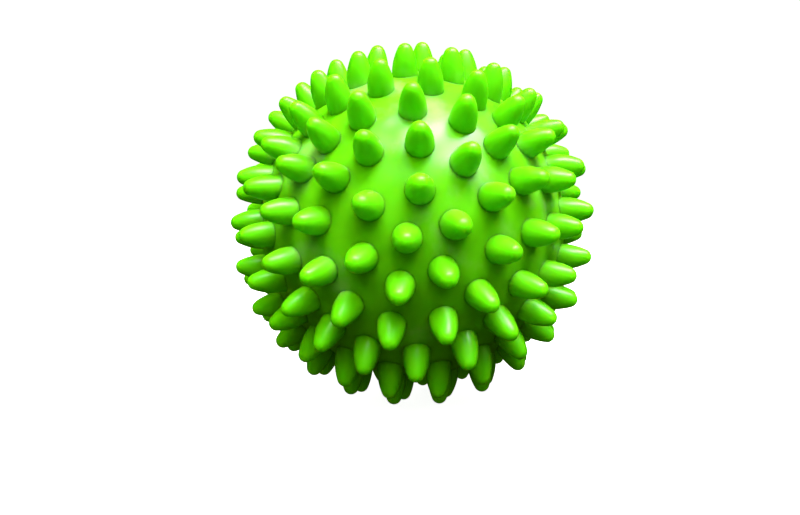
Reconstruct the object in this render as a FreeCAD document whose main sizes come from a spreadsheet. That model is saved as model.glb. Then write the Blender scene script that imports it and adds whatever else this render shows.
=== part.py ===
import FreeCAD, Part
import math
import os
import Sketcher

# Spiky massage ball, 70 mm across the spike tips.
#
# Frame: origin at the centre of the ball, +Z up. The mould's front pole, which carries
# the single centre spike, points along -Y. The needle valve sits at the rear pole, +Y.
# Spikes stand in rings around that axis. A spike's ring angle is counted from the front
# pole, and its turn is counted from +X towards +Z.

# Driving dimensions: alias, value (millimetres or degrees), meaning.
SIZES = [
    ("tip_radius", 35.0, "ball centre to spike tips"),
    ("skin_radius", 29.5, "outside of the hollow skin"),
    ("skin_wall", 2.0, "wall of the hollow skin"),
    ("spike_base_radius", 2.35, "spike at the skin"),
    ("spike_nose_radius", 1.25, "rounding of the spike's end"),
    ("spike_root", 2.5, "spare length below the skin, trimmed off"),
    ("lean_gain", 0.36, "sideways lean of a spike on the equator, as a slope"),
    ("valve_head_radius", 3.2, "flat head of the needle valve"),
    ("valve_head_depth", 1.0, "recess under the valve head"),
    ("valve_stem_radius", 2.1, "stem of the valve, pressed into the boss"),
    ("boss_radius", 4.6, "thick boss around the valve, inside the skin"),
    ("boss_depth", 6.5, "outside of the ball to the boss's inner end"),
    ("barb_radius", 2.9, "barb that holds the valve in the boss"),
    ("barb_length", 1.2, "cylinder of the barb"),
    ("barb_nose", 1.2, "cone of the barb"),
    ("needle_radius", 1.1, "guide hole for an inflating needle"),
    ("needle_funnel", 0.4, "chamfer at the guide hole's mouth"),
    ("needle_length", 5.0, "straight wall of the guide hole"),
]

# Each ring: its angle from the front pole, number of spikes, turn of its first spike, and
# how far its spikes drift from even spacing: the largest drift, and the turn where it happens.
# The back rings stand as far from the rear pole as the front rings do from the front pole.
RINGS = [
    (0.0, 1, 0.0, 0.0, 0.0),
    (14.6, 6, 19.0, 5.0, 208.0),
    (29.0, 12, 22.0, 1.5, 70.0),
    (42.4, 17, 22.0, 3.0, 100.0),
    (55.7, 22, 1.5, 0.0, 0.0),
    (69.2, 25, 5.5, 0.0, 0.0),
    (83.1, 26, 4.0, 0.0, 0.0),
    (96.9, 26, 10.0, 0.0, 0.0),
    (110.8, 25, 2.0, 0.0, 0.0),
    (124.3, 22, 8.0, 0.0, 0.0),
    (137.6, 17, 3.0, 3.0, 250.0),
    (151.0, 12, 15.0, 1.5, 160.0),
    (165.4, 6, 40.0, 5.0, 300.0),
]

PULL_DIRECTIONS = 4


def make_sheet(doc):
    """Spreadsheet with one row per driving dimension: meaning, value, alias."""
    sheet = doc.addObject("Spreadsheet::Sheet", "Sizes")
    rows = list(SIZES)
    for ring, (angle, count, turn, drift, drift_turn) in enumerate(RINGS):
        rows.append((f"ring_{ring:02d}_angle", angle, "ring's angle from the front pole"))
        rows.append((f"ring_{ring:02d}_count", count, "spikes in this ring"))
        rows.append((f"ring_{ring:02d}_turn", turn, "turn of the ring's first spike"))
        rows.append((f"ring_{ring:02d}_drift", drift, "largest drift from even spacing"))
        rows.append((f"ring_{ring:02d}_drift_turn", drift_turn, "turn of the largest drift"))
    for line, (alias, value, meaning) in enumerate(rows, start=1):
        sheet.set(f"A{line}", meaning)
        sheet.set(f"B{line}", str(value))
        sheet.setAlias(f"B{line}", alias)
    doc.recompute()
    return sheet


def origin_plane(body, role):
    """The body's own origin plane with the given role."""
    return next(item for item in body.Origin.OriginFeatures if item.Role == role)


def new_sketch(body, name, role):
    """An empty sketch on one of the body's origin planes."""
    sketch = body.newObject("Sketcher::SketchObject", name)
    sketch.AttachmentSupport = [(origin_plane(body, role), "")]
    sketch.MapMode = "FlatFace"
    return sketch


def revolve(body, sketch, name):
    """One full turn of a sketch about its own vertical axis."""
    turned = body.newObject("PartDesign::Revolution", name)
    turned.Profile = sketch
    turned.ReferenceAxis = (sketch, ["V_Axis"])
    turned.Angle = 360
    body.Tip = turned
    sketch.Visibility = False
    return turned


def size_of(sheet, *aliases):
    """The sheet's values for the aliases, in that order."""
    return [float(sheet.get(alias)) for alias in aliases]


def bind(sketch, name, kind, geometry, value, formula):
    """Add a named driving constraint and bind it to the sheet."""
    row = sketch.addConstraint(Sketcher.Constraint(kind, *geometry, value))
    sketch.renameConstraint(row, name)
    sketch.setExpression(f"Constraints.{name}", formula)


def draw_polyline(sketch, points):
    """Straight edges through the points, joined end to end. Returns their numbers."""
    edges = []
    for start, end in zip(points, points[1:]):
        line = Part.LineSegment(FreeCAD.Vector(*start, 0), FreeCAD.Vector(*end, 0))
        edges.append(sketch.addGeometry(line, False))
    for first, second in zip(edges, edges[1:]):
        sketch.addConstraint(Sketcher.Constraint("Coincident", first, 2, second, 1))
    return edges


def square_up(sketch, edges, kinds):
    """Make each listed edge horizontal or vertical, and leave those marked None."""
    for edge, kind in zip(edges, kinds):
        if kind:
            sketch.addConstraint(Sketcher.Constraint(kind, edge))


def add_arc(sketch, centre, radius, start, end):
    """Counter-clockwise arc between two points that lie on the given circle."""
    circle = Part.Circle(FreeCAD.Vector(*centre, 0), FreeCAD.Vector(0, 0, 1), radius)
    angles = [math.atan2(y - centre[1], x - centre[0]) for x, y in (start, end)]
    return sketch.addGeometry(Part.ArcOfCircle(circle, *angles), False)


def pin_to_origin(sketch, edge, point):
    """Hold a point of an edge on the sketch's origin."""
    sketch.addConstraint(Sketcher.Constraint("Coincident", edge, point, -1, 1))


def put_on_axis(sketch, edge, point):
    """Hold a point of an edge on the sketch's vertical axis."""
    sketch.addConstraint(Sketcher.Constraint("PointOnObject", edge, point, -2))


def join(sketch, edge, point, other, other_point):
    """Join two end points."""
    sketch.addConstraint(Sketcher.Constraint("Coincident", edge, point, other, other_point))


def make_spike_form(doc, sheet):
    """Bullet that every spike is cut from: base circle at z = 0, nose at z = height.

    Its side is one arc that leaves the skin square to it and runs into the round nose
    with no edge.
    """
    tip, skin, base, nose, root = size_of(
        sheet, "tip_radius", "skin_radius", "spike_base_radius", "spike_nose_radius", "spike_root")
    height = tip - skin
    nose_centre = height - nose
    side = (base ** 2 + nose_centre ** 2 - nose ** 2) / (2 * (base - nose))
    side_centre = base - side
    reach = side / (side - nose)
    touch = (side_centre * (1 - reach), nose_centre * reach)

    body = doc.addObject("PartDesign::Body", "SpikeForm")
    body.Label = "spike_form"
    sketch = new_sketch(body, "SpikeProfile", "XZ_Plane")
    walls = draw_polyline(sketch, [(0, height), (0, -root), (base, -root), (base, 0)])
    square_up(sketch, walls, ["Vertical", "Horizontal", "Vertical"])
    put_on_axis(sketch, walls[0], 1)
    flank = add_arc(sketch, (side_centre, 0), side, (base, 0), touch)
    dome = add_arc(sketch, (0, nose_centre), nose, touch, (0, height))
    sketch.addConstraint(Sketcher.Constraint("Tangent", walls[2], 2, flank, 1))
    sketch.addConstraint(Sketcher.Constraint("Tangent", flank, 2, dome, 1))
    join(sketch, dome, 2, walls[0], 1)
    put_on_axis(sketch, dome, 3)
    sketch.addConstraint(Sketcher.Constraint("PointOnObject", flank, 3, -1))
    bind(sketch, "height", "DistanceY", (-1, 1, walls[0], 1), height,
         "Sizes.tip_radius - Sizes.skin_radius")
    bind(sketch, "root", "DistanceY", (walls[0], 2, -1, 1), root, "Sizes.spike_root")
    bind(sketch, "base_radius", "DistanceX", (-1, 1, walls[2], 1), base, "Sizes.spike_base_radius")
    bind(sketch, "nose_radius", "Radius", (dome,), nose, "Sizes.spike_nose_radius")
    revolve(body, sketch, "SpikeTurned")
    return body


def make_skin(doc, sheet):
    """Hollow skin, revolved about Y, with the thick valve boss inside its rear pole."""
    outer, wall, head, seat_depth, stem, boss, boss_depth = size_of(
        sheet, "skin_radius", "skin_wall", "valve_head_radius", "valve_head_depth",
        "valve_stem_radius", "boss_radius", "boss_depth")
    inner = outer - wall
    seat = outer - seat_depth
    boss_end = outer - boss_depth
    rim = (head, math.sqrt(outer ** 2 - head ** 2))
    boss_root = (boss, math.sqrt(inner ** 2 - boss ** 2))

    body = doc.addObject("PartDesign::Body", "HollowSkin")
    body.Label = "hollow_skin"
    sketch = new_sketch(body, "SkinProfile", "XY_Plane")
    outside = add_arc(sketch, (0, 0), outer, (0, -outer), rim)
    steps = draw_polyline(
        sketch, [rim, (head, seat), (stem, seat), (stem, boss_end), (boss, boss_end), boss_root])
    inside = add_arc(sketch, (0, 0), inner, (0, -inner), boss_root)
    closing = draw_polyline(sketch, [(0, -inner), (0, -outer)])[0]
    square_up(sketch, steps, ["Vertical", "Horizontal", "Vertical", "Horizontal", "Vertical"])
    pin_to_origin(sketch, outside, 3)
    pin_to_origin(sketch, inside, 3)
    join(sketch, outside, 2, steps[0], 1)
    join(sketch, steps[-1], 2, inside, 2)
    join(sketch, inside, 1, closing, 1)
    join(sketch, closing, 2, outside, 1)
    put_on_axis(sketch, closing, 1)
    put_on_axis(sketch, closing, 2)
    bind(sketch, "outer_radius", "Radius", (outside,), outer, "Sizes.skin_radius")
    bind(sketch, "inner_radius", "Radius", (inside,), inner, "Sizes.skin_radius - Sizes.skin_wall")
    bind(sketch, "head_radius", "DistanceX", (-1, 1, steps[0], 2), head, "Sizes.valve_head_radius")
    bind(sketch, "stem_radius", "DistanceX", (-1, 1, steps[2], 1), stem, "Sizes.valve_stem_radius")
    bind(sketch, "boss_radius", "DistanceX", (-1, 1, steps[4], 1), boss, "Sizes.boss_radius")
    bind(sketch, "seat", "DistanceY", (-1, 1, steps[1], 1), seat,
         "Sizes.skin_radius - Sizes.valve_head_depth")
    bind(sketch, "boss_end", "DistanceY", (-1, 1, steps[3], 1), boss_end,
         "Sizes.skin_radius - Sizes.boss_depth")
    revolve(body, sketch, "SkinTurned")
    return body


def make_valve(doc, sheet):
    """Rubber needle valve: domed head, stem, barb and a blind guide hole, revolved about Y."""
    outer, head, seat_depth, stem, boss_depth, barb, barb_length, barb_nose = size_of(
        sheet, "skin_radius", "valve_head_radius", "valve_head_depth", "valve_stem_radius",
        "boss_depth", "barb_radius", "barb_length", "barb_nose")
    hole, funnel, hole_length = size_of(sheet, "needle_radius", "needle_funnel", "needle_length")
    seat = outer - seat_depth
    boss_end = outer - boss_depth
    mouth = (hole + funnel, math.sqrt(outer ** 2 - (hole + funnel) ** 2))
    hole_top = mouth[1] - funnel
    hole_end = hole_top - hole_length
    rim = (head, math.sqrt(outer ** 2 - head ** 2))

    body = doc.addObject("PartDesign::Body", "NeedleValve")
    body.Label = "needle_valve"
    sketch = new_sketch(body, "ValveProfile", "XY_Plane")
    crown = add_arc(sketch, (0, 0), outer, rim, mouth)
    profile = [
        mouth, (hole, hole_top), (hole, hole_end), (0, hole_end),
        (0, boss_end - barb_length - barb_nose), (stem, boss_end - barb_length - barb_nose),
        (barb, boss_end - barb_length), (barb, boss_end), (stem, boss_end), (stem, seat),
        (head, seat), rim,
    ]
    edges = draw_polyline(sketch, profile)
    (funnel_edge, hole_edge, floor, axis_edge, nose_edge, cone, barb_edge, shoulder, stem_edge,
     underside, head_edge) = edges
    square_up(sketch, edges, [
        None, "Vertical", "Horizontal", "Vertical", "Horizontal", None, "Vertical", "Horizontal",
        "Vertical", "Horizontal", "Vertical"])
    pin_to_origin(sketch, crown, 3)
    join(sketch, crown, 2, funnel_edge, 1)
    join(sketch, head_edge, 2, crown, 1)
    put_on_axis(sketch, axis_edge, 1)
    bind(sketch, "crown_radius", "Radius", (crown,), outer, "Sizes.skin_radius")
    bind(sketch, "head_radius", "DistanceX", (-1, 1, head_edge, 1), head, "Sizes.valve_head_radius")
    bind(sketch, "stem_radius", "DistanceX", (-1, 1, stem_edge, 1), stem, "Sizes.valve_stem_radius")
    bind(sketch, "nose_radius", "DistanceX", (-1, 1, nose_edge, 2), stem, "Sizes.valve_stem_radius")
    bind(sketch, "barb_radius", "DistanceX", (-1, 1, barb_edge, 1), barb, "Sizes.barb_radius")
    bind(sketch, "hole_radius", "DistanceX", (-1, 1, hole_edge, 1), hole, "Sizes.needle_radius")
    bind(sketch, "funnel_width", "DistanceX", (hole_edge, 1, funnel_edge, 1), funnel,
         "Sizes.needle_funnel")
    bind(sketch, "funnel_depth", "DistanceY", (hole_edge, 1, funnel_edge, 1), funnel,
         "Sizes.needle_funnel")
    bind(sketch, "hole_length", "DistanceY", (hole_edge, 2, hole_edge, 1), hole_length,
         "Sizes.needle_length")
    bind(sketch, "barb_length", "DistanceY", (barb_edge, 1, barb_edge, 2), barb_length,
         "Sizes.barb_length")
    bind(sketch, "barb_nose", "DistanceY", (nose_edge, 2, barb_edge, 1), barb_nose, "Sizes.barb_nose")
    bind(sketch, "seat", "DistanceY", (-1, 1, underside, 1), seat,
         "Sizes.skin_radius - Sizes.valve_head_depth")
    bind(sketch, "boss_end", "DistanceY", (-1, 1, shoulder, 1), boss_end,
         "Sizes.skin_radius - Sizes.boss_depth")
    revolve(body, sketch, "ValveTurned")
    return body


def outward(ring_angle, turn):
    """Unit vector from the ball's centre: ring angle from -Y, turn from +X towards +Z."""
    return FreeCAD.Vector(
        math.sin(ring_angle) * math.cos(turn),
        -math.cos(ring_angle),
        math.sin(ring_angle) * math.sin(turn))


def spike_axis(ring_angle, turn, lean_gain):
    """Direction of one spike, leaning towards the nearest of the mould's side pulls.

    The lean is nothing at the poles and greatest on the equator, halfway between a pull
    direction and the edge of its quarter.
    """
    sideways = FreeCAD.Vector(-math.sin(turn), 0, math.cos(turn))
    slope = -lean_gain * math.sin(ring_angle) ** 2 * math.sin(PULL_DIRECTIONS * turn)
    axis = outward(ring_angle, turn) + sideways * slope
    return axis.normalize()


def make_spike(form, skin_ball, sheet, ring_angle, turn):
    """One solid spike, trimmed to sit on the skin's outside face."""
    tip_radius, skin_radius, lean_gain = size_of(sheet, "tip_radius", "skin_radius", "lean_gain")
    radial = outward(ring_angle, turn)
    axis = spike_axis(ring_angle, turn, lean_gain)
    foot = radial * tip_radius - axis * (tip_radius - skin_radius)
    spike = form.copy()
    spike.Placement = FreeCAD.Placement(foot, FreeCAD.Rotation(FreeCAD.Vector(0, 0, 1), axis))
    ball = skin_ball.copy()
    # The sphere's seam lies on its +X side, so it is turned away from the spike.
    ball.Placement = FreeCAD.Placement(
        FreeCAD.Vector(), FreeCAD.Rotation(FreeCAD.Vector(-1, 0, 0), radial))
    return spike.cut(ball)


def make_spike_ring(doc, sheet, form, skin_ball, ring):
    """All the spikes of one ring, as a group of separate solids."""
    angle, count, first_turn, drift, drift_turn = size_of(
        sheet, f"ring_{ring:02d}_angle", f"ring_{ring:02d}_count", f"ring_{ring:02d}_turn",
        f"ring_{ring:02d}_drift", f"ring_{ring:02d}_drift_turn")
    ring_angle = math.radians(angle)
    spikes = []
    for place in range(int(count)):
        even_turn = math.radians(first_turn) + 2 * math.pi * place / count
        pushed = math.radians(drift) * math.cos(even_turn - math.radians(drift_turn))
        spikes += make_spike(form, skin_ball, sheet, ring_angle, even_turn + pushed).Solids
    row = doc.addObject("Part::Feature", f"SpikeRing{ring:02d}")
    row.Label = f"spike_ring_{ring:02d}"
    row.Shape = Part.makeCompound(spikes)
    row.Placement = FreeCAD.Placement()
    return row


def check(doc, parts):
    """Stop if an object failed or a sub-part's shape isn't sound."""
    for item in doc.Objects:
        if "Invalid" in item.State or "Error" in item.State:
            raise RuntimeError(f"{item.Label} failed: {item.State}")
    for part in parts:
        if part.Shape.isNull() or not part.Shape.isValid():
            raise RuntimeError(f"{part.Label} has no sound shape")


def main():
    """Build the document, check it and write one STEP file per sub-part."""
    doc = FreeCAD.newDocument("MassageBall")
    sheet = make_sheet(doc)
    form = make_spike_form(doc, sheet)
    skin = make_skin(doc, sheet)
    valve = make_valve(doc, sheet)
    doc.recompute()

    skin_radius = float(sheet.get("skin_radius"))
    skin_ball = Part.makeSphere(skin_radius)
    rings = [make_spike_ring(doc, sheet, form.Shape, skin_ball, ring) for ring in range(len(RINGS))]
    doc.recompute()

    parts = [skin, valve] + rings
    check(doc, parts + [form])
    os.makedirs("parts", exist_ok=True)
    for part in parts:
        part.Shape.exportStep(f"parts/{part.Label}.step")
        print(part.Label, len(part.Shape.Solids), "solids,", round(part.Shape.Volume, 1), "mm3")


main()
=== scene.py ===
import math

import bmesh
import bpy
from mathutils import Matrix, Vector


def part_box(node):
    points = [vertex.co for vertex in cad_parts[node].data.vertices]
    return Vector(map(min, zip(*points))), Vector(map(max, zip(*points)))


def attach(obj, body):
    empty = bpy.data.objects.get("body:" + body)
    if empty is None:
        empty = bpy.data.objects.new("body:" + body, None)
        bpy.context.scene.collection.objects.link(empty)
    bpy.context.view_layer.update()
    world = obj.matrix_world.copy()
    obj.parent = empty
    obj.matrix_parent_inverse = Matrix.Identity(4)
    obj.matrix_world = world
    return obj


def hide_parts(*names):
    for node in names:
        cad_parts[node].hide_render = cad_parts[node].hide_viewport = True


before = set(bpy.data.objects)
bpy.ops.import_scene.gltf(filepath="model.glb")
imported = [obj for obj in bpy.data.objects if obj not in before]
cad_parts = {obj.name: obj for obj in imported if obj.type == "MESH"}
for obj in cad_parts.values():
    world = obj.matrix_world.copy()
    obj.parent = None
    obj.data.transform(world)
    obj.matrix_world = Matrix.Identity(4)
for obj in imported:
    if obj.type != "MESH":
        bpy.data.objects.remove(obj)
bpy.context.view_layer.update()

# Spiky massage ball. The ball's centre is the origin, the front pole with its single
# spike points along -Y, and the needle valve is at the rear pole, +Y. Metres.

MM = 0.001

# Ball, from the frame. The nose on the real spikes is a little blunter than on the CAD's.
TIP_RADIUS = -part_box("spike_ring_00")[0].y
SKIN_RADIUS = -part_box("hollow_skin")[0].y
SPIKE_HEIGHT = TIP_RADIUS - SKIN_RADIUS
SPIKE_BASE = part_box("spike_ring_00")[1].x
CAD_NOSE = 0.532 * SPIKE_BASE
SPIKE_NOSE = 0.60 * SPIKE_BASE
SPIKE_FILLET = 0.03 * SPIKE_BASE
SPIKE_FOOT_HEIGHT = 0.4 * SPIKE_HEIGHT
SPIKE_RINGS = sorted(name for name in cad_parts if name.startswith("spike_ring_"))
SKIN_WALL = 2 * MM
PARTING_HEIGHT = 0.05 * MM
PARTING_WIDTH = 0.35 * MM

# Needle valve, from the frame where it shows the size.
VALVE_LOW, VALVE_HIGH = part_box("needle_valve")
HEAD_RADIUS = VALVE_HIGH.x
HEAD_DROP = SKIN_RADIUS - math.sqrt(SKIN_RADIUS ** 2 - HEAD_RADIUS ** 2)
HEAD_GAP = 0.06 * MM
SEAT_HEIGHT = SKIN_RADIUS - 1.0 * MM
SEAT_LIP = 0.25 * MM
STEM_RADIUS = 2.1 * MM
BARB_RADIUS = 2.9 * MM
BARB_LENGTH = 1.2 * MM
BOSS_RADIUS = 4.6 * MM
BOSS_END = VALVE_LOW.y + 2 * BARB_LENGTH
NEEDLE_RADIUS = 1.1 * MM
NEEDLE_DEPTH = 5.5 * MM

# Camera: as far from the ball as a close-up is taken, so that the near spikes look large.
# The shift puts the ball a little above and to the right of the frame's middle.
CAMERA_DISTANCE = 3.43 * TIP_RADIUS
CAMERA_AZIMUTH = math.radians(1.7)
CAMERA_ELEVATION = math.radians(4.3)
BALL_WIDTH_IN_FRAME = 0.456
FRAME_SHIFT = (-0.0161, -0.0431)
SENSOR_WIDTH = 36.0

# Floor: a wide pale bowl, so that every view has it behind the ball.
FLOOR_RADIUS = 1.6
FLOOR_BEND = 0.6
FLOOR_WALL = 2.2

# How finely the curved surfaces are divided: sides about an axis, and steps along an arc.
SPIKE_SIDES = 32
VALVE_SIDES = 96
SKIN_SIDES = 256
FLOOR_SIDES = 96
SPIKE_FILLET_STEPS = 6
SPIKE_SIDE_STEPS = 14
SPIKE_NOSE_STEPS = 9
SKIN_OUTSIDE_STEPS = 150
SKIN_INSIDE_STEPS = 60
SMALL_EDGE_STEPS = 5
FLOOR_BEND_STEPS = 24

# Soft plastic: sizes of its cloudy colour, pale patches, smears, swell and pebbles, and the heights
# of the last two.
CLOUD_SIZE = 11 * MM
PATCH_SIZE = 13 * MM
SMEAR_SIZE = 4 * MM
SWELL_SIZE = 5 * MM
SWELL_HEIGHT = 0.5 * MM
PEBBLE_SIZE = 0.7 * MM
PEBBLE_HEIGHT = 0.015 * MM
PEBBLE_STRENGTH = 0.12
PLASTIC_IOR = 1.5
FAINT_GREEN = (0.95, 1.0, 0.95, 1)

# How far light travels under its surface, and the share of that for red, green and blue.
SCATTER_REACH = 3.5 * MM
SCATTER_BY_COLOUR = (1.4, 1.0, 0.1)


# ---------------------------------------------------------------- meshes

def make_piece(name, mesh_maker, material, nodes):
    """A smooth object from a bmesh, riding on the ball and standing for its CAD nodes."""
    piece = make_object(name, mesh_maker, material)
    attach(piece, "root")
    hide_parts(*nodes)
    return piece


def make_object(name, mesh_maker, material):
    """A smooth-shaded object with one material, from a function that fills a bmesh."""
    mesh = bpy.data.meshes.new(name)
    form = bmesh.new()
    mesh_maker(form)
    bmesh.ops.recalc_face_normals(form, faces=form.faces)
    form.to_mesh(mesh)
    form.free()
    mesh.shade_smooth()
    mesh.materials.append(material)
    thing = bpy.data.objects.new(name, mesh)
    bpy.context.scene.collection.objects.link(thing)
    return thing


def arc(centre, radius, start, end, steps):
    """Points on an arc between two angles in degrees, both ends included."""
    points = []
    for step in range(steps + 1):
        angle = math.radians(start + (end - start) * step / steps)
        points.append((centre[0] + radius * math.cos(angle), centre[1] + radius * math.sin(angle)))
    return points


def bridge(form, lower, upper):
    """Faces between two closed loops of vertices with the same count."""
    count = len(lower)
    for index in range(count):
        after = (index + 1) % count
        form.faces.new((lower[index], lower[after], upper[after], upper[index]))


def fan(form, loop, point):
    """Close a loop with triangles to one point."""
    hub = form.verts.new(point)
    for index in range(len(loop)):
        form.faces.new((loop[index], loop[(index + 1) % len(loop)], hub))


def turn_about_y(form, profile, segments):
    """Surface of revolution about Y. Profile points are (distance from the axis, y)."""
    loops = []
    for radius, height in profile:
        loop = []
        for index in range(segments):
            angle = 2 * math.pi * index / segments
            loop.append(form.verts.new((radius * math.cos(angle), height, radius * math.sin(angle))))
        loops.append(loop)
    for lower, upper in zip(loops, loops[1:]):
        bridge(form, lower, upper)
    return loops


# ---------------------------------------------------------------- spikes

def spike_profile(length):
    """(radius, height above the skin) from the buried foot to the nose.

    The side is one arc that runs into the round nose, as on the CAD spike, but the nose is
    a little blunter, and there is a small fillet at the skin. A leaning spike is longer,
    and its foot is a short cylinder.
    """
    spare = length - SPIKE_HEIGHT
    nose_centre = SPIKE_HEIGHT - SPIKE_NOSE
    side = (SPIKE_BASE ** 2 + nose_centre ** 2 - SPIKE_NOSE ** 2) / (2 * (SPIKE_BASE - SPIKE_NOSE))
    side_start = math.degrees(math.asin(max(SPIKE_FILLET - spare, 0) / side))
    side_end = math.degrees(math.asin(nose_centre / (side - SPIKE_NOSE)))
    side_centre = (SPIKE_BASE - side, spare)
    buried_rim = (SPIKE_BASE + 0.8 * SPIKE_FILLET, -1.5 * SPIKE_FILLET)
    fillet_centre = (SPIKE_BASE + SPIKE_FILLET, SPIKE_FILLET)
    fillet_start = 262
    nose_end = 86
    points = [buried_rim]
    points += arc(fillet_centre, SPIKE_FILLET, fillet_start, 180, SPIKE_FILLET_STEPS)
    points += arc(side_centre, side, side_start, side_end, SPIKE_SIDE_STEPS)[1:]
    points += arc((0, length - SPIKE_NOSE), SPIKE_NOSE, side_end, nose_end, SPIKE_NOSE_STEPS)[1:]
    return points


def smooth_step(value):
    """0 below 0, 1 above 1, with a soft rise between."""
    value = min(max(value, 0.0), 1.0)
    return value * value * (3 - 2 * value)


def add_spike(form, foot, tip):
    """One spike. Its slices lie along the skin at the foot and square to its own axis above."""
    smallest_lean = 1e-4
    radial = foot.normalized()
    axis = (tip - foot).normalized()
    side = radial.cross(axis)
    if side.length < smallest_lean:
        side = radial.orthogonal()
    side.normalize()
    loops = []
    for radius, height in spike_profile((tip - foot).length):
        upright = smooth_step(height / SPIKE_FOOT_HEIGHT)
        normal = radial.lerp(axis, upright).normalized()
        across = side.cross(normal)
        sag = SKIN_RADIUS - math.sqrt(SKIN_RADIUS ** 2 - radius ** 2)
        centre = foot + axis * height - radial * sag * (1 - upright)
        loop = []
        for index in range(SPIKE_SIDES):
            angle = 2 * math.pi * index / SPIKE_SIDES
            edge = across * math.cos(angle) + side * math.sin(angle)
            loop.append(form.verts.new(centre + edge * radius))
        loops.append(loop)
    for lower, upper in zip(loops, loops[1:]):
        bridge(form, lower, upper)
    buried_point = foot - radial * 2 * SPIKE_FILLET
    fan(form, loops[-1], tip)
    fan(form, loops[0], buried_point)


def ring_builder(places):
    """Function that adds the spikes at these (foot, tip) places to a bmesh."""
    def build_ring(form):
        for foot, tip in places:
            add_spike(form, foot, tip)
    return build_ring


def spike_places(node):
    """(foot on the skin, tip) of each spike of a CAD node, read from its separate solids."""
    weld_distance = 1e-7
    form = bmesh.new()
    form.from_mesh(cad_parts[node].data)
    bmesh.ops.remove_doubles(form, verts=form.verts, dist=weld_distance)
    waiting = set(form.verts)
    places = []
    for first in form.verts:
        if first not in waiting:
            continue
        waiting.remove(first)
        island = []
        front = [first]
        while front:
            vertex = front.pop()
            island.append(vertex.co.copy())
            for edge in vertex.link_edges:
                other = edge.other_vert(vertex)
                if other in waiting:
                    waiting.remove(other)
                    front.append(other)
        places.append(measure_spike(island))
    form.free()
    return places


def measure_spike(points):
    """(foot, tip) of one spike from the points of its CAD solid."""
    skin_tolerance = 0.02 * MM
    rim = [point for point in points if point.length < SKIN_RADIUS + skin_tolerance]
    low = Vector([min(point[k] for point in rim) for k in range(3)])
    high = Vector([max(point[k] for point in rim) for k in range(3)])
    foot = ((low + high) / 2).normalized() * SKIN_RADIUS
    furthest = max(points, key=lambda point: point.length)
    nose_centre = furthest * (1 - CAD_NOSE / furthest.length)
    axis = (nose_centre - foot).normalized()
    return foot, nose_centre + axis * CAD_NOSE


# ---------------------------------------------------------------- skin and valve

def surface_point(angle):
    """Point of the skin's outside at an angle above the equator, with the mould's parting line."""
    height = SKIN_RADIUS * angle
    ridge = PARTING_HEIGHT * math.exp(-(height / PARTING_WIDTH) ** 2)
    radius = SKIN_RADIUS + ridge
    return radius * math.cos(angle), radius * math.sin(angle)


def skin_outline():
    """Outline of the hollow skin, (distance from the axis, y): outside, valve seat, inside."""
    inner = SKIN_RADIUS - SKIN_WALL
    hole = HEAD_RADIUS + SEAT_LIP
    rim = math.asin(hole / SKIN_RADIUS)
    rim_height = SKIN_RADIUS * math.cos(rim)
    lip_start = 80
    front_pole_gap = 0.5
    points = []
    for step in range(1, SKIN_OUTSIDE_STEPS + 1):
        points.append(surface_point((math.pi - rim) * step / SKIN_OUTSIDE_STEPS - math.pi / 2))
    points += arc((hole, rim_height - SEAT_LIP), SEAT_LIP, lip_start, 180, SMALL_EDGE_STEPS)
    points += [(HEAD_RADIUS, SEAT_HEIGHT), (STEM_RADIUS, SEAT_HEIGHT)]
    points += [(STEM_RADIUS, BOSS_END), (BOSS_RADIUS, BOSS_END)]
    boss_root = math.degrees(math.acos(BOSS_RADIUS / inner))
    points += arc((0, 0), inner, boss_root, front_pole_gap - 90, SKIN_INSIDE_STEPS)
    return points


def build_skin(form):
    """Hollow skin. Small fans close its outside and its inside at the front pole."""
    loops = turn_about_y(form, skin_outline(), SKIN_SIDES)
    fan(form, loops[0], (0, -SKIN_RADIUS, 0))
    fan(form, loops[-1], (0, -(SKIN_RADIUS - SKIN_WALL), 0))


def valve_outline():
    """Outline of the needle valve from the guide hole's floor to the barb's end."""
    crown = VALVE_HIGH.y
    edge = HEAD_RADIUS - HEAD_GAP
    rounding = 0.2 * MM
    funnel = 0.4 * MM
    edge_start = 80
    floor_height = crown - 0.98 * NEEDLE_DEPTH
    wall_end = crown - 0.9 * NEEDLE_DEPTH
    points = [(NEEDLE_RADIUS / 2, floor_height), (NEEDLE_RADIUS, wall_end)]
    points += arc((NEEDLE_RADIUS + funnel, crown - funnel), funnel, 180, 90, SMALL_EDGE_STEPS)
    edge_centre = (edge - rounding, crown - HEAD_DROP - rounding)
    points += arc(edge_centre, rounding, edge_start, 0, SMALL_EDGE_STEPS)
    points += [(edge, SEAT_HEIGHT), (STEM_RADIUS, SEAT_HEIGHT), (STEM_RADIUS, BOSS_END)]
    points += [(BARB_RADIUS, BOSS_END), (BARB_RADIUS, BOSS_END - BARB_LENGTH)]
    points += [(STEM_RADIUS, VALVE_LOW.y)]
    return points


def build_valve(form):
    """Needle valve, closed at the hole's floor and at the barb's end."""
    loops = turn_about_y(form, valve_outline(), VALVE_SIDES)
    fan(form, loops[0], (0, VALVE_HIGH.y - NEEDLE_DEPTH, 0))
    fan(form, loops[-1], (0, VALVE_LOW.y, 0))


# ---------------------------------------------------------------- materials

def new_material(name):
    """Node material with one Principled shader, and its nodes, links and shader."""
    material = bpy.data.materials.new(name)
    material.use_nodes = True
    nodes = material.node_tree.nodes
    return material, nodes, material.node_tree.links, nodes["Principled BSDF"]


def noise(nodes, links, place, size, detail):
    """Noise fixed to the ball, with patches of about the given size in metres."""
    texture = nodes.new("ShaderNodeTexNoise")
    texture.inputs["Scale"].default_value = 1 / size
    texture.inputs["Detail"].default_value = detail
    texture.inputs["Roughness"].default_value = 0.6
    links.new(place.outputs["Object"], texture.inputs["Vector"])
    return texture.outputs["Fac"]


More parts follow.
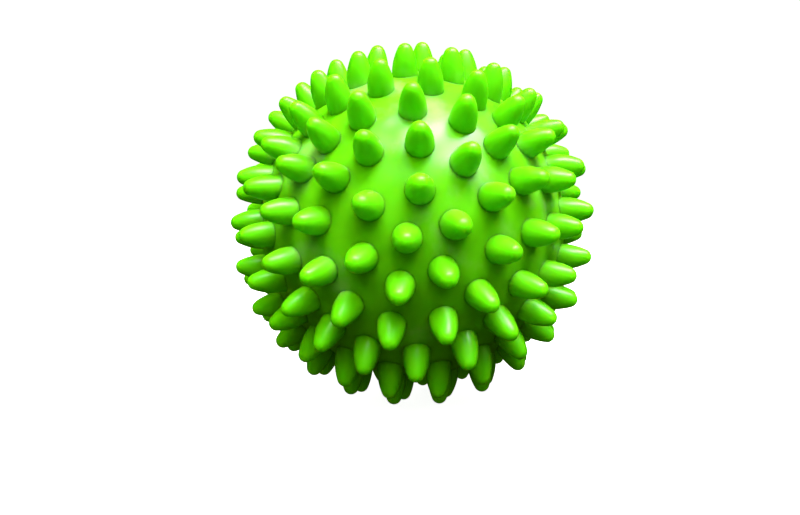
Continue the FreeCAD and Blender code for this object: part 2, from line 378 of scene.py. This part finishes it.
def ramp(nodes, links, source, low, high, start=0.3, end=0.7):
    """Map the part of a value between start and end to the range from low to high."""
    mapping = nodes.new("ShaderNodeMapRange")
    mapping.inputs["From Min"].default_value = start
    mapping.inputs["From Max"].default_value = end
    mapping.inputs["To Min"].default_value = low
    mapping.inputs["To Max"].default_value = high
    links.new(source, mapping.inputs["Value"])
    return mapping.outputs["Result"]


def blend(nodes, links, factor, first, second):
    """Mix a colour, or another node's colour, with a second colour by a 0 to 1 value."""
    mix = nodes.new("ShaderNodeMix")
    mix.data_type = "RGBA"
    if isinstance(first, tuple):
        mix.inputs["A"].default_value = (*first, 1)
    else:
        links.new(first, mix.inputs["A"])
    mix.inputs["B"].default_value = (*second, 1)
    links.new(factor, mix.inputs["Factor"])
    return mix.outputs["Result"]


def brighten(nodes, links, colour, factor):
    """Multiply a colour's brightness by a value."""
    cloudy = nodes.new("ShaderNodeHueSaturation")
    links.new(factor, cloudy.inputs["Value"])
    links.new(colour, cloudy.inputs["Color"])
    return cloudy.outputs["Color"]


def calculate(nodes, links, operation, first, second):
    """One arithmetic step on two values."""
    step = nodes.new("ShaderNodeMath")
    step.operation = operation
    links.new(first, step.inputs[0])
    links.new(second, step.inputs[1])
    return step.outputs["Value"]


def relief(nodes, links, height, strength, distance):
    """Bump node that makes a 0 to 1 value look like relief of a height in metres."""
    bump = nodes.new("ShaderNodeBump")
    bump.inputs["Strength"].default_value = strength
    bump.inputs["Distance"].default_value = distance
    links.new(height, bump.inputs["Height"])
    return bump


def height_on_spike(nodes, links, place):
    """0 on the skin, 1 at the spike tips."""
    length = nodes.new("ShaderNodeVectorMath")
    length.operation = "LENGTH"
    links.new(place.outputs["Object"], length.inputs[0])
    return ramp(nodes, links, length.outputs["Value"], 0.0, 1.0, SKIN_RADIUS, TIP_RADIUS)


def pale_patches(nodes, links, place, height):
    """0 to 0.5: where the pale patches lie on the skin, fading out on the lower part of the spikes.
    """
    patchiness = noise(nodes, links, place, PATCH_SIZE, detail=5)
    low = ramp(nodes, links, height, 1.0, 0.0, start=0.05, end=0.4)
    patches = ramp(nodes, links, patchiness, 0.0, 0.5, start=0.54, end=0.68)
    return calculate(nodes, links, "MULTIPLY", low, patches)


def roughness(nodes, links, place, height, patchiness, gloss, rubbed):
    """Smeared roughness, more at the scuffed tips, in the spikes' corners and under the pale
    patches.
    """
    smear = noise(nodes, links, place, SMEAR_SIZE, detail=4)
    corner_low = ramp(nodes, links, height, 0.0, 1.0, start=0.0, end=0.015)
    corner_high = ramp(nodes, links, height, 0.25, 0.0, start=0.04, end=0.10)
    corner = calculate(nodes, links, "MULTIPLY", corner_low, corner_high)
    under_patches = calculate(nodes, links, "MULTIPLY", patchiness, patchiness)
    dull = calculate(nodes, links, "ADD", corner, under_patches)
    scuffed = ramp(nodes, links, height, 0.0, rubbed, start=0.0, end=1.0)
    uneven = ramp(nodes, links, smear, gloss - 0.03, gloss + 0.04)
    return calculate(nodes, links, "ADD", uneven, calculate(nodes, links, "ADD", scuffed, dull))


def moulded(name, skin, tips, patch_colour, scatter, gloss, rubbed):
    """Moulded soft plastic: mottled colour, pale patches, uneven gloss, and a surface that
    swells gently and is finely pebbled.

    skin and tips are the colours on the skin and at the spike tips, blended by height; a
    lighter tips colour is painted light on the spikes and painted shade on the skin and the
    spike feet. The third colour is that of pale patches on the skin between the spikes. gloss
    is the roughness of the skin, and rubbed is what scuffing adds to it at the tips. The
    corner at the foot of each spike is duller too.
    """
    material, nodes, links, shader = new_material(name)
    place = nodes.new("ShaderNodeTexCoord")
    height = height_on_spike(nodes, links, place)
    patchiness = pale_patches(nodes, links, place, height)
    cloud = noise(nodes, links, place, CLOUD_SIZE, detail=3)
    # Painted light: the colour turns from the skin's to the tips' with height, so a lighter tips
    # colour paints the spikes lit and the skin and spike feet shaded.
    colour = blend(nodes, links, height, skin, tips)
    colour = brighten(nodes, links, colour, ramp(nodes, links, cloud, 0.93, 1.07))
    # Pale patches on the skin between the spikes, fading out low on the spikes.
    colour = blend(nodes, links, patchiness, colour, patch_colour)
    links.new(colour, shader.inputs["Base Color"])
    rough = roughness(nodes, links, place, height, patchiness, gloss, rubbed)
    links.new(rough, shader.inputs["Roughness"])
    swell = noise(nodes, links, place, SWELL_SIZE, detail=0)
    pebbles = noise(nodes, links, place, PEBBLE_SIZE, detail=3)
    swollen = relief(nodes, links, swell, 1.0, SWELL_HEIGHT)
    pebbled = relief(nodes, links, pebbles, PEBBLE_STRENGTH, PEBBLE_HEIGHT)
    links.new(swollen.outputs["Normal"], pebbled.inputs["Normal"])
    links.new(pebbled.outputs["Normal"], shader.inputs["Normal"])
    shader.inputs["Subsurface Weight"].default_value = scatter
    shader.inputs["Subsurface Radius"].default_value = SCATTER_BY_COLOUR
    shader.inputs["Subsurface Scale"].default_value = SCATTER_REACH
    shader.inputs["IOR"].default_value = PLASTIC_IOR
    shader.inputs["Specular Tint"].default_value = FAINT_GREEN
    return material


def green_pvc():
    """The ball's bright green soft PVC. Its lighter tip colour is painted light on the spikes, and
    its darker skin colour painted shade on the skin between them.
    """
    return moulded(
        "green_pvc", skin=(0.100, 0.46, 0.001), tips=(0.096, 0.57, 0.001), patch_colour=(0.26, 0.50, 0.12),
        scatter=1.0, gloss=0.34, rubbed=0.05)


def valve_rubber():
    """The valve's darker green rubber."""
    return moulded(
        "valve_rubber", skin=(0.05, 0.28, 0.006), tips=(0.05, 0.28, 0.006), patch_colour=(0.12, 0.30, 0.08),
        scatter=0.1, gloss=0.45, rubbed=0.0)


def pale_floor():
    """Matt pale floor that glows a little, so that its far parts don't fall into shade."""
    material, _, _, shader = new_material("pale_floor")
    shader.inputs["Base Color"].default_value = (0.92, 0.92, 0.91, 1)
    shader.inputs["Roughness"].default_value = 0.9
    shader.inputs["Emission Color"].default_value = (1, 1, 1, 1)
    shader.inputs["Emission Strength"].default_value = 0.93
    material.cycles.emission_sampling = "NONE"
    return material


# ---------------------------------------------------------------- stage

def build_floor_mesh(form):
    """Flat floor that bends up into a wall all round the ball."""
    ground = -TIP_RADIUS
    outline = [(TIP_RADIUS, ground)]
    bend_centre = (FLOOR_RADIUS - FLOOR_BEND, ground + FLOOR_BEND)
    outline += arc(bend_centre, FLOOR_BEND, -90, 0, FLOOR_BEND_STEPS)
    outline += [(FLOOR_RADIUS, ground + FLOOR_WALL)]
    loops = turn_about_y(form, outline, FLOOR_SIDES)
    fan(form, loops[0], (0, ground, 0))
    bmesh.ops.rotate(form, verts=form.verts, matrix=Matrix.Rotation(math.pi / 2, 3, "X"))


def build_floor():
    """Pale floor under the ball. It throws no light back up at it."""
    floor = make_object("floor", build_floor_mesh, pale_floor())
    floor.visible_diffuse = False
    floor.visible_glossy = False


def aim(thing, place, roll=0.0):
    """Put a light or camera at a place, looking at the ball's centre, rolled about its view."""
    thing.location = place
    turn = (-Vector(place)).to_track_quat("-Z", "Y")
    thing.rotation_euler = (turn.to_matrix() @ Matrix.Rotation(roll, 3, "Z")).to_euler()


def add_softbox(name, place, size, power, mirrored=False, roll=0.0):
    """Rectangular area light aimed at the ball. Only a mirrored one leaves a highlight."""
    light = bpy.data.lights.new(name, "AREA")
    light.shape = "RECTANGLE"
    light.size = size[0]
    light.size_y = size[1]
    light.energy = power
    lamp = bpy.data.objects.new(name, light)
    lamp.visible_glossy = mirrored
    bpy.context.scene.collection.objects.link(lamp)
    aim(lamp, place, roll)


def build_lights():
    """Two softboxes high in front, weak ones in front and behind, and a dim warm world."""
    add_softbox(
        "key_softbox", place=(0.105, -0.135, 0.355), size=(0.34, 0.09), power=3.7,
        mirrored=True, roll=math.radians(-18))
    add_softbox("broad_softbox", place=(0.0, -0.20, 0.325), size=(0.45, 0.38), power=3.2)
    add_softbox("front_fill", place=(0.02, -0.50, 0.16), size=(0.30, 0.30), power=0.26)
    add_softbox("back_fill", place=(-0.10, 0.50, 0.24), size=(0.40, 0.40), power=2.4)
    world = bpy.data.worlds.new("studio")
    world.use_nodes = True
    background = world.node_tree.nodes["Background"]
    background.inputs["Color"].default_value = (1.0, 0.85, 0.6, 1)
    background.inputs["Strength"].default_value = 0.10
    world.cycles_visibility.glossy = False
    bpy.context.scene.world = world
    bpy.context.scene.view_settings.view_transform = "Standard"


def build_camera():
    """Close camera, a little above and to the right of the front pole."""
    camera = bpy.data.cameras.new("camera")
    camera.sensor_width = SENSOR_WIDTH
    outline = TIP_RADIUS / math.sqrt(CAMERA_DISTANCE ** 2 - TIP_RADIUS ** 2)
    camera.lens = SENSOR_WIDTH * BALL_WIDTH_IN_FRAME / (2 * outline)
    camera.shift_x, camera.shift_y = FRAME_SHIFT
    camera.clip_start = 5 * MM
    eye = bpy.data.objects.new("camera", camera)
    bpy.context.scene.collection.objects.link(eye)
    level = CAMERA_DISTANCE * math.cos(CAMERA_ELEVATION)
    height = CAMERA_DISTANCE * math.sin(CAMERA_ELEVATION)
    aim(eye, (level * math.sin(CAMERA_AZIMUTH), -level * math.cos(CAMERA_AZIMUTH), height))
    bpy.context.scene.camera = eye


# ---------------------------------------------------------------- the ball

def build_ball():
    """Skin, rings of spikes and valve, one piece for each CAD node."""
    green = green_pvc()
    make_piece("skin", build_skin, green, ["hollow_skin"])
    for node in SPIKE_RINGS:
        build_ring = ring_builder(spike_places(node))
        make_piece(node.replace("ring", "row"), build_ring, green, [node])
    make_piece("valve", build_valve, valve_rubber(), ["needle_valve"])


build_ball()
build_floor()
build_lights()
build_camera()
